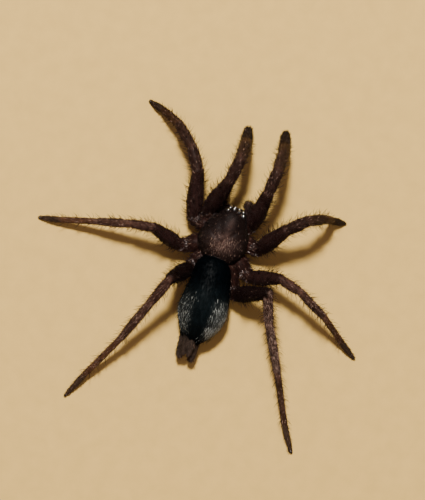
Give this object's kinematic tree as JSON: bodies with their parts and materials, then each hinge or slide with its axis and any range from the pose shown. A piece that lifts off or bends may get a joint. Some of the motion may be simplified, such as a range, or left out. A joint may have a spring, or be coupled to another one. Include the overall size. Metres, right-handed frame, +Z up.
{
  "type": "ground spider",
  "caption": "Still life-size model of a dark ground spider standing on eight legs, with short palps, downward jaws and long cylindrical spinnerets.",
  "frame": {"origin": "on the floor, in the middle of the space that the spider takes up", "axes": "+Z up, the head looks towards -Y, the spider's left side is towards +X"},
  "size_m": [0.0258, 0.0242, 0.0054],
  "materials": {
    "shell": "dark brown shell under short hair",
    "legs": "very dark brown under short hair",
    "feet": "brown, hairy",
    "abdomen": "soft black with a silky blue-grey sheen",
    "spinnerets": "dark grey-brown",
    "mouthparts": "polished dark red-brown",
    "eyes": "polished black"
  },
  "bodies": {
    "root": {"cephalothorax": "shell", "sternum": "shell", "pedicel": "shell", "abdomen": "abdomen", "labium": "mouthparts", "chelicera_left": "mouthparts", "fang_left": "mouthparts", "maxilla_left": "mouthparts", "palp_left_femur": "legs", "palp_left_tarsus": "feet", "leg_left_1_femur": "legs", "leg_left_1_tibia": "legs", "leg_left_1_tarsus": "feet", "leg_left_2_femur": "legs", "leg_left_2_tibia": "legs", "leg_left_2_tarsus": "feet", "leg_left_3_femur": "legs", "leg_left_3_tibia": "legs", "leg_left_3_tarsus": "feet", "leg_left_4_femur": "legs", "leg_left_4_tibia": "legs", "leg_left_4_tarsus": "feet", "spinneret_anterior_left": "spinnerets", "spinneret_posterior_left": "spinnerets", "spinneret_median_left": "spinnerets", "eye_anterior_median_left": "eyes", "eye_anterior_lateral_left": "eyes", "eye_posterior_median_left": "eyes", "eye_posterior_lateral_left": "eyes", "chelicera_right": "mouthparts", "fang_right": "mouthparts", "maxilla_right": "mouthparts", "palp_right_femur": "legs", "palp_right_tarsus": "feet", "leg_right_1_femur": "legs", "leg_right_1_tibia": "legs", "leg_right_1_tarsus": "feet", "leg_right_2_femur": "legs", "leg_right_2_tibia": "legs", "leg_right_2_tarsus": "feet", "leg_right_3_femur": "legs", "leg_right_3_tibia": "legs", "leg_right_3_tarsus": "feet", "leg_right_4_femur": "legs", "leg_right_4_tibia": "legs", "leg_right_4_tarsus": "feet", "spinneret_anterior_right": "spinnerets", "spinneret_posterior_right": "spinnerets", "spinneret_median_right": "spinnerets", "eye_anterior_median_right": "eyes", "eye_anterior_lateral_right": "eyes", "eye_posterior_median_right": "eyes", "eye_posterior_lateral_right": "eyes"}
  },
  "joints": []
}
